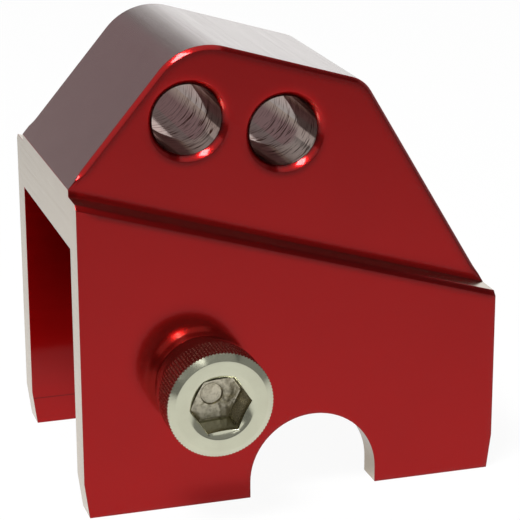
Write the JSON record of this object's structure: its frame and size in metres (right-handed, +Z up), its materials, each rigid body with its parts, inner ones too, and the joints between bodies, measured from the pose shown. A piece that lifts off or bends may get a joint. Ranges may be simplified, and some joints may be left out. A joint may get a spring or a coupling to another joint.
{
  "type": "shock extender",
  "caption": "Forked aluminium riser that clamps over an engine's shock lug with a cap screw and carries the shock absorber in a bore higher up.",
  "frame": {"origin": "on the clamp screw's axis, halfway between the legs", "axes": "+X along the front face to the right, +Y along the shock bores to the back, +Z up from the feet"},
  "size_m": [0.065, 0.07, 0.0691],
  "materials": {
    "anodised_aluminium": "satin red anodised, with a bare machined outline",
    "stainless_steel": "bright rolled and knurled",
    "zinc_plated_steel": "bright zinc plated",
    "nylon": "plain moulded"
  },
  "bodies": {
    "root": {"extender_block": "anodised_aluminium", "clamp_screw": "stainless_steel", "lock_nut": "zinc_plated_steel", "lock_ring": "nylon"}
  },
  "joints": []
}
